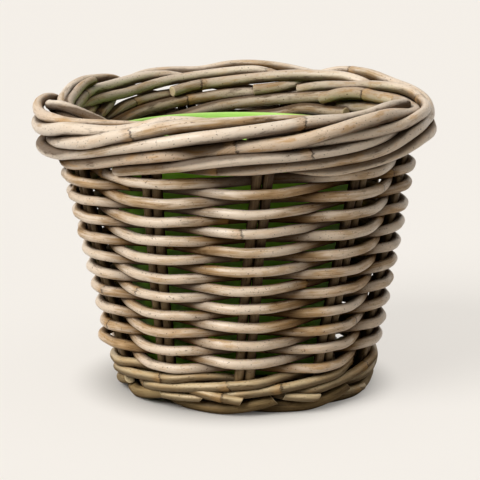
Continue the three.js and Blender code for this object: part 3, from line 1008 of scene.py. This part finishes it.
@dataclass
class Wall:
    """Plain randing: two sets of canes, one out where the other is in, stepping up at the back."""

    diameter: float = 7.0
    shown: float = 7.45
    rows: int = 21
    pitch: float = 7.13
    first_height: float = 34.8
    step: float = 2.0  # stakes that the climb at the back takes
    tuck: float = 0.9  # stakes that the ends of a set run on
    dip: float = 0.7   # how much lower a cane lies where it is out
    bulge: float = 6.0
    bulge_place: float = 7.7
    bulge_width: float = 0.3
    wander: float = 0.6
    spacing: float = 2.2
    stakes: Stakes = field(default_factory=Stakes)

    @property
    def round_start(self) -> float:
        """Place in stakes where the first round starts, behind the step at the back."""
        return PAIRS / 2 + self.step / 2

    def height(self, place: Array, lift: float) -> Array:
        """Height of a spiralling row: level, then a smooth climb of two rows at the back."""
        along = place - self.round_start
        turn = np.maximum(0, np.floor(along / PAIRS))
        within = along - turn * PAIRS
        t = np.clip((within - (PAIRS - self.step)) / self.step, 0, 1)
        climb = t * t * (3 - 2 * t)
        return self.first_height + lift + 2 * self.pitch * (turn + climb)

    def build(self, shop: Workshop) -> None:
        """Build the nine weavers of both sets."""
        odd_rounds, even_rounds = (self.rows + 1) // 2, (self.rows - 1) // 2
        for name, canes, out_at, rounds, lift, tuck in (
            ("weaver_odd", 5, -1, odd_rounds, 0.0, self.tuck),
            ("weaver_even", 4, 1, even_rounds, self.pitch, -self.tuck / 3),
        ):
            first = self.round_start - tuck
            last = self.round_start + rounds * PAIRS - self.step + tuck
            # each joint is behind the pair next to an even share of the way
            behind = max(out_at, 0)
            shares = first + np.arange(canes) * (last - first) / canes
            joints = 2 * np.floor((shares - behind) / 2 + 0.5) + behind
            for index in range(canes):
                level = float(self.height(joints[index], lift))
                gap = CLEARANCE / math.radians(STAKE_STEP) / float(FORM.circle(level))
                start = first if index == 0 else joints[index] + gap
                end = last if index == canes - 1 else joints[index + 1] - gap
                place = np.append(np.arange(start, end, PLACE_STEP), end)
                seed = 10 + 20 * index + (10 if behind else 0)
                cane = self.weaver(numbered(name, index), place, last - tuck, lift, out_at, seed)
                shop.cane(cane, Bark.WEAVER, "weaver_cane")

    def weaver(self, name: str, place: Array, end: float, lift: float, out_at: int, seed: int) -> Cane:
        """One weaver.

        Args:
            name: its name.
            place: places along it in stakes.
            end: place where the set stops climbing.
            lift: height of the set above the first row.
            out_at: 1 for the set that is out at even pairs, -1 for the other.
            seed: for its wandering and its bark.

        Returns:
            The cane.
        """
        flat = float(FORM.circle(self.stakes.top)) * (1 - math.cos(math.radians(FLANK * STAKE_STEP)))
        reach = (self.stakes.diameter + self.diameter) / 2 + CLEARANCE + flat
        height = self.height(np.minimum(place, end), lift)
        off = stand(place, out_at, reach)
        angle = FORM.angle(place, height)
        # one loop near the foot was left slack and stands out at the left
        from_loop = (place - self.bulge_place) / self.bulge_width
        slack = self.bulge * np.exp(-(from_loop**2)) * (out_at > 0)
        low = height - self.dip * off / reach
        line = FORM.point(FORM.circle(height) + off + slack, angle, low)
        line, off, angle = resample(line, self.spacing, off, angle)
        off, angle = off[:, 0], angle[:, 0]
        along = arc_length(line)
        line[:, 2] += self.wander * waves(along, seed, 35, 220)
        out = np.clip(off / reach, -1, 1)
        # greyer where the cane is out, browner near the foot, and darker where it is in behind the stakes,
        # for dirt and painted shade
        warmth = 0.45 - line[:, 2] / 450 + 0.25 * waves(along, seed + 4, 80, 900)
        return Cane(
            name, line, outward(angle), self.shown + 0.3 * math.sin(seed), seed, node_spacing=290,
            tone=0.35 * waves(along, seed + 3, 60, 700) + 0.35 * out,
            warmth=np.clip(warmth, 0, 1),
            soil_and_shade=0.95 * np.clip(0.6 - 1.1 * out, 0, 1),
        )


# Courses of the border canes, read from the photo cane by cane where it shows them. Each row is a
# place in stakes, counted for the first ten canes from the pair that the cane leaves over and for
# the fillers from the front, then the distance out from the middle of the roll and the height above
# the border's height, both in millimetres.
BORDER_COURSES = (
    ((-0.16, 0.3, -21.9), (0.08, 1.2, -20), (0.46, 1.2, -19.9), (0.91, 3.1, -15.8), (1.33, 7, -9),
     (1.62, 7.4, -8.3), (1.85, 5.8, -8.9), (2.12, 8, -8.3), (2.36, 7.5, -0.1), (2.47, 7, 2.2),
     (2.61, 3, 5.2), (2.95, -1, 6.2), (3.15, -1, 6.8), (3.46, 2, 10.2), (3.62, 2.5, 8.6), (3.76, 1, 3.5),
     (3.86, -3, 0), (3.98, -9, -2.2), (4.11, -13, -3.2), (4.32, -15, -5)),
    ((-0.54, -1.1, -24.9), (-0.38, -1.3, -25.2), (-0.04, -1, -24.7), (0.19, 1.5, -22.8), (0.32, 4, -20.9),
     (0.46, 7.5, -17.1), (0.62, 8.5, -14.3), (1.15, 9.5, -13), (1.6, 9, -6), (2, 5, 3), (2.25, -3.4, 8.9),
     (2.46, -3, 8.6), (2.7, -4.5, 7), (2.92, -6.5, 6.2), (3.39, -7.5, 5.3), (3.71, -8.9, 2.6),
     (3.9, -11, 1.6), (4.06, -13.5, -0.8), (4.23, -15, -3.2)),
    ((-0.14, -0.5, -23.5), (0.9, 4.2, -13.5), (1.5, 8, -5.4), (1.9, 9.2, 2.5), (2.23, -1.5, 13.1),
     (3.17, -5.9, 7.5), (3.29, -7.6, 5.7), (3.6, -9.4, 1), (3.74, -9.5, -1.2), (4.3, -9.5, -4.5),
     (5.3, -9.5, -8.5)),
    ((-0.14, -0.5, -23.5), (0.9, 4.6, -12.6), (1.4, 8.4, -4.5), (2.06, 1, 10.6), (2.18, 0, 11.4),
     (2.41, -2, 11.3), (2.63, -3.3, 8.9), (2.9, -6.9, 6.5), (3.19, -8.8, 3.6), (3.5, -9.5, 0.3),
     (4.2, -9.5, -4.5), (5.2, -9.5, -9.5)),
    ((-0.14, -0.5, -23.5), (0.9, 5, -11.7), (1.3, 8.4, -4.5), (1.65, 4, 10.8), (1.92, 3, 13.4),
     (2.17, 3, 13.8), (2.38, 3, 10.9), (2.55, 2, 6.5), (2.79, -2, 3.5), (2.98, -6, -0.7), (3.63, -9, 0.3),
     (5.4, -9.5, -8.5)),
    ((-1.75, -15.5, -16.4), (-1.62, -15.5, -16.8), (-1.37, -15, -15.9), (-1.2, -14.5, -15.5),
     (-1, -17.1, -20.5), (-0.86, -17.4, -22.5), (-0.55, -10.1, -23.5), (-0.14, -0.5, -23.5),
     (0.9, 5, -11.7), (1.2, 7.6, -6.3), (1.7, 2, 6.4), (1.88, 3.8, 7.4), (2.06, 7.3, 6), (2.22, 8.3, 4),
     (2.5, 7.3, 2), (2.75, 5, 1.6), (3.05, 2, 0.6), (4, -4.5, 2.5), (4.1, -7, 2), (4.9, -9.5, -9.5)),
    ((-0.14, -0.5, -23.5), (0.95, 11.4, -5.4), (1.13, 10.9, -6.2), (1.4, 9, -6.6), (1.6, 8, -5.4),
     (2.2, 8, 0.6), (2.45, 5.5, -0.8), (2.68, 2.5, -0.5), (2.9, 0.5, 2.5), (3.06, 0, 6.4),
     (3.13, -1, 8.2), (3.27, -2, 8.6), (3.48, -2, 7.7), (3.65, -3, 5.6), (3.8, -6, 3), (4, -9.5, -3.5),
     (5.2, -9.5, -8.5)),
    ((-0.14, -0.5, -23.5), (0.2, 1.1, -19.2), (0.5, 0, -17.5), (1.23, 6, -9.8), (1.58, 8.6, -4.1),
     (1.75, 9.5, 0.1), (2.04, 8.2, 4.7), (2.23, 5.6, 7.7), (2.42, 3.9, 8.6), (3, -4.3, 8.5),
     (4, -9.5, 0.5), (5, -9.5, -6.5), (5.7, -9.5, -7.5), (6.5, -11.5, -9.5)),
    ((-1.55, -2, -27), (-1.25, 11.8, -23.9), (-0.85, 9.1, -23.6), (-0.09, 0.2, -22), (0.43, 5, -13.4),
     (1.24, 9.4, -1.4), (1.43, 9.3, 1.7), (1.77, 8.3, 4.7), (2.33, 4.6, 8.3), (2.62, 0, 5.3),
     (2.68, -6, 3.7), (3.02, -8, 3), (3.22, -7, 4.6), (3.5, -6, 3.8), (3.8, -6, 0.2), (4.2, -9, -2),
     (4.5, -9.5, -6)),
    ((-1.8, -11, -24), (-1.3, -4, -28.3), (-1.04, -2, -26.1), (-0.53, 1.3, -19.7), (-0.24, 3.3, -15.3),
     (0.2, 5.4, -10.8), (0.4, -3.6, -10.8), (0.75, -1.4, -6.3), (1.2, 6.6, -4.1), (1.42, 9.5, 0.2),
     (1.7, 8.5, 4.2), (1.87, 8, 5.2), (2.07, 6, 5.3), (2.55, -1, -1), (3.36, -2, -4.1), (3.52, -4, -2.6),
     (3.91, -9, -2.1), (4.05, -11, 0.3), (4.19, -13, -0.3), (4.31, -14, -1.9), (4.42, -15, -4.3),
     (4.55, -15.5, -8.6)),
    ((-1.35, -1.7, -26), (-0.84, 1, -20.4), (-0.43, 3.8, -14.3), (-0.24, 4.7, -12.5), (-0.05, 4.7, -12.3),
     (0.12, 4.1, -13.6), (0.66, 4.5, -12.9), (0.89, 5.2, -11.3), (1.15, 4, -9.6), (1.45, 0, -4)),
    ((0.2, 2, -8), (0.58, 5, -5.8), (0.87, 7, -5.4), (1.1, 6, -4.1), (1.48, 6, -0.6), (2.28, 5, -2.4),
     (2.41, 6, 0.4), (2.48, 3, 3.2), (2.57, -1, 4), (2.64, -3, 5.2), (3, -8.7, 3.9), (3.6, -8, 1.6),
     (3.8, -6, 0), (3.98, -2, -3)),
    ((3.5, 6, 1), (3.87, 4, 8.2), (4.24, 4, 13.4), (4.39, 4, 14.6), (4.54, 4, 14.4), (4.64, 4, 12.7),
     (4.74, 4, 9.8), (4.87, 4, 9.6), (5.03, 5, 10.5), (5.28, 5, 12.1), (5.5, 4, 9.5), (5.66, 5, 4),
     (5.8, 1, -2), (5.92, -6, -5), (6.05, -9, -5), (6.18, -9.5, -5.8), (6.41, -10, -5.7),
     (6.63, -10, -8.2)),
    ((6.8, 2, -3), (6.93, 2, 4.6), (7.72, -4, 11.3), (7.88, -9, 8.4), (8.05, -11, 5.9), (8.15, -12, 3.5),
     (8.34, -12.5, 0.6), (8.6, -12.5, -9)),
    ((6.19, -9.5, 10.9), (6.29, -9.5, 10.5), (6.48, -9, 7.2), (6.66, -9, 2.8), (7.08, -9, 0),
     (7.25, -9.5, -7)),
)
# How the first ten canes start inside the back of the roll and run down behind the wall, up to
# where their own rows go on.
HIDDEN_START = (
    (-3.2, -3, -4), (-2.95, -6, -4), (-2.7, -9.5, -4.4), (-2.2, -13.5, -7.6), (-1.7, -15.7, -11),
    (-1.35, -16.2, -14.5), (-0.86, -17.4, -22.5), (-0.55, -10.1, -23.5),
)


@dataclass
class Border:
    """Ten thick canes that roll over the top, and five shorter ones that fill it up."""

    # thickness and warmth of the bark, cane by cane, as in the photo
    shown: tuple[float, ...] = (
        8.8, 9.0, 8.2, 8.6, 7.8, 8.4, 9.5, 9.2, 8.9, 9.7, 7.9, 7.8, 8.0, 7.3, 7.2,
    )
    warmths: tuple[float, ...] = (
        0.35, 0.25, 0.2, 0.15, 0.1, 0.5, 0.15, 0.25, 0.1, 0.6, 0.05, 0.2, 0.25, 0.1, 0.1,
    )
    outside: float = 4.0
    core_depth: float = 6.0
    open_start: int = 5       # the cane whose own rows show its whole start
    join: float = 0.25        # stakes between the hidden start and a cane's own rows
    shade_start: float = 4.0  # how far in from the middle of the roll the bark starts to be browner and darker with painted shade
    shade_reach: float = 7.0
    settle_spacing: float = 2.6
    spacing: float = 1.8

    @property
    def middle(self) -> float:
        """Radius of the middle of the roll."""
        return float(FORM.circle(FORM.border_height)) + self.outside

    def line(self, index: int) -> Array:
        """Course of one cane, evened as a stiff cane runs.

        Args:
            index: number of the cane, and the place where it leaves the wall if it is below ten.

        Returns:
            Points along the cane.
        """
        rows = BORDER_COURSES[index]
        if index < PAIRS and index != self.open_start:
            rows = tuple(row for row in HIDDEN_START if row[0] < rows[0][0] - self.join) + rows
        table = np.array(rows, dtype=float)
        place = np.arange(table[0, 0], table[-1, 0], PLACE_STEP)
        across, up = evened(interpolated(place, table[:, 0], table[:, 1:]), 5)[::3].T
        place = place[::3] + (index if index < PAIRS else 0)
        angle = FORM.angle(place, FORM.border_height)
        return FORM.point(self.middle + across, angle, FORM.border_height + up)

    def build(self, shop: Workshop) -> None:
        """Build all canes of the border."""
        lines = [smooth_line(self.line(k), self.settle_spacing)[0] for k in range(len(BORDER_COURSES))]
        for index, line in enumerate(settle(lines, self.shown)):
            line, = smooth_line(line[::2], self.spacing)
            core = line * [1.0, 1.0, 0.0]
            core *= self.middle / np.linalg.norm(core, axis=1, keepdims=True)
            core[:, 2] = FORM.border_height - self.core_depth
            seed = 300 + 7 * index
            along = arc_length(line)
            extra = index >= PAIRS
            # inside the roll the bark is browner, and painted shade darkens it
            inside = self.middle - np.linalg.norm(line[:, :2], axis=1)
            shaded = np.clip((inside - self.shade_start) / self.shade_reach, 0, 1)
            warmth = self.warmths[index] + 0.3 * waves(along, seed + 6, 90, 600) + 0.3 * shaded
            kind, first = ("border_filler_cane", PAIRS) if extra else ("border_cane", 0)
            cane = Cane(
                numbered(kind, index - first), line, line - core, self.shown[index], seed,
                around=18, node_spacing=380,
                tone=0.4 + 0.3 * waves(along, seed + 5, 80, 500),
                warmth=np.clip(warmth, 0, 1),
                soil_and_shade=0.42 * shaded,
            )
            shop.cane(cane, Bark.BORDER, "border_cane", extra=extra)


@dataclass
class LinerPot:
    """The loose pot: thin, tapered, with a slim turned-out lip, standing on the base weave."""

    centre_x: float = 3.0
    height: float = 171.0
    base_radius: float = 72.0
    top_radius: float = 99.6
    wall: float = 1.6
    lip_width: float = 2.6
    lip_height: float = 4.0
    floor: float = 22.05
    segments: int = 160

    def profile(self) -> Array:
        """Radius and height round the section, with a mark that is 1 on the outside of the wall."""
        base, top, height, wall = self.base_radius, self.top_radius, self.height, self.wall
        edge = top + self.lip_width
        taper = (top - base) / height
        lip = height - self.lip_height
        t = np.linspace(0, 1, 14)[:, None]
        foot = np.array([base + 3 * taper, 3.0])
        outside = foot + (np.array([top - self.lip_height * taper, lip]) - foot) * t
        rim = np.array([top - wall - 2 * taper, height - 2.0])
        inside = rim + (np.array([base - wall, 6.0]) - rim) * t
        # the rounded lip, from below the edge over the top to the inner side of the wall
        turned = [
            (edge - 0.9, lip + 0.2), (edge - 0.2, lip + 0.7), (edge, height - 1.0),
            (edge - 0.3, height - 0.3), (edge - 1.0, height), (top - wall + 0.5, height),
            (top - wall, height - 0.5),
        ]
        outer = [(0.0, 0.0), (base - 3.0, 0.0), (base - 1.2, 0.8), *outside]
        inner = [*turned, *inside, (base - wall - 1.4, 3.0), (base - wall - 4.0, wall), (0.0, wall)]
        mark = np.repeat([1.0, 0.0], [len(outer), len(inner)])
        return np.column_stack([np.array([*outer, *inner]), mark])

    def build(self, material: bpy.types.Material) -> None:
        """Build the pot: the profile turned round its axis, closed at both poles."""
        profile = self.profile()
        body = profile[1:-1]
        turn = np.linspace(0, 2 * np.pi, self.segments, endpoint=False)
        x = body[:, :1] * np.cos(turn)
        y = body[:, :1] * np.sin(turn)
        z = np.repeat(body[:, 1:2], self.segments, axis=1)
        points = np.stack([x, y, z], axis=-1).reshape(-1, 3)
        poles = np.array([[0, 0, profile[0, 1]], [0, 0, profile[-1, 1]]])
        points = np.vstack([points, poles]) + [self.centre_x, 0.0, self.floor]
        skin = np.concatenate([np.repeat(body[:, 2], self.segments), [1.0, 0.0]])
        surface = Surface(shifted(points), *tube_faces(len(body), self.segments), {"skin": skin})
        piece = surface.build("turned_liner_pot")
        piece.data.materials.append(material)
        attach(piece, "liner")
        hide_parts("liner_pot")
        log.info("%s: %d faces", piece.name, len(piece.data.polygons))


# Studio.

@dataclass
class Studio:
    """Pale floor, soft light from the upper left and the camera at the photograph's place."""

    elevation: float = 12.37
    distance: float = 1400.0
    lens: float = 137.7
    sensor: float = 36.0
    view_end: float = 40.0  # in metres
    target: tuple[float, float, float] = (4.57, 0.0, 109.45)
    key: float = 3.2
    top: float = 0.8
    fill: float = 0.12
    air: str = "fbf6ee"
    floor_half: float = 12000.0

    def floor(self) -> None:
        """A wide plane at the height of the foot."""
        corners = np.array([[-1, -1, 0], [1, -1, 0], [1, 1, 0], [-1, 1, 0]])
        surface = Surface(self.floor_half * corners, np.array([[0, 1, 2, 3]]), np.empty((0, 3), int))
        plane = surface.build("studio_floor")
        plane.data.materials.append(StudioFinish().material())

    def world(self) -> None:
        """Even light from all round; the camera and shiny surfaces see the floor's colour."""
        s = Shader(bpy.data.worlds.new("studio_world"))
        light = s.add("ShaderNodeBackground", {0: self.air, 1: self.fill})
        backdrop = s.add("ShaderNodeBackground", {0: StudioFinish().paint, 1: 1.0})
        mixed = s.add("ShaderNodeMixShader", {0: s.seen(), 1: light, 2: backdrop})
        bpy.context.scene.world = s.finish(mixed)

    def lamps(self) -> None:
        """Two wide suns: a key from the upper left in front and a weaker one from above."""
        # strength, then width, azimuth and elevation in degrees
        for name, energy, angle, azimuth, elevation in (
            ("key_light", self.key, 34, -48, 40),
            ("top_light", self.top, 60, 20, 80),
        ):
            sun = bpy.data.lights.new(name, "SUN")
            sun.energy = energy
            sun.angle = math.radians(angle)
            lamp = bpy.data.objects.new(name, sun)
            lamp.rotation_euler = (math.radians(90 - elevation), 0.0, math.radians(azimuth))
            bpy.context.scene.collection.objects.link(lamp)

    def camera(self) -> None:
        """The camera, level with the photograph's: it looks along +Y and down by the elevation."""
        data = bpy.data.cameras.new("camera")
        data.sensor_fit = "HORIZONTAL"
        data.sensor_width = self.sensor
        data.lens = self.lens
        data.clip_end = self.view_end
        camera = bpy.data.objects.new("camera", data)
        tilt = math.radians(self.elevation)
        aim = shifted(np.array(self.target))
        place = aim + self.distance * np.array([0.0, -math.cos(tilt), math.sin(tilt)])
        camera.location = place * MM
        camera.rotation_euler = (math.pi / 2 - tilt, 0.0, 0.0)
        bpy.context.scene.collection.objects.link(camera)
        bpy.context.scene.camera = camera

    def build(self) -> None:
        """Build all of the studio."""
        self.camera()
        self.floor()
        self.world()
        self.lamps()
        bpy.context.scene.view_settings.view_transform = "Standard"


def origin_shift() -> Array:
    """How far the solids were moved, read from the liner pot's box.

    Their source moves all of them so that the origin is under the middle of the border.
    """
    low, high = (np.array(corner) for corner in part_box("liner_pot"))
    pot = LinerPot()
    middle = (low + high) / 2 / MM
    return np.array([middle[0] - pot.centre_x, middle[1], low[2] / MM - pot.floor])


ORIGIN_SHIFT = origin_shift()


def main() -> None:
    """Build the studio and every piece, and report them."""
    logging.basicConfig(level=logging.INFO, format="%(message)s")
    Studio().build()
    shop = Workshop()
    for part in (Stakes(), BaseWeave(), FootWale(), FootArcs(), Wall(), Border()):
        part.build(shop)
    LinerPot().build(LinerFinish().material())
    log.info("canes: %d", shop.count)


if __name__ == "__main__":
    main()
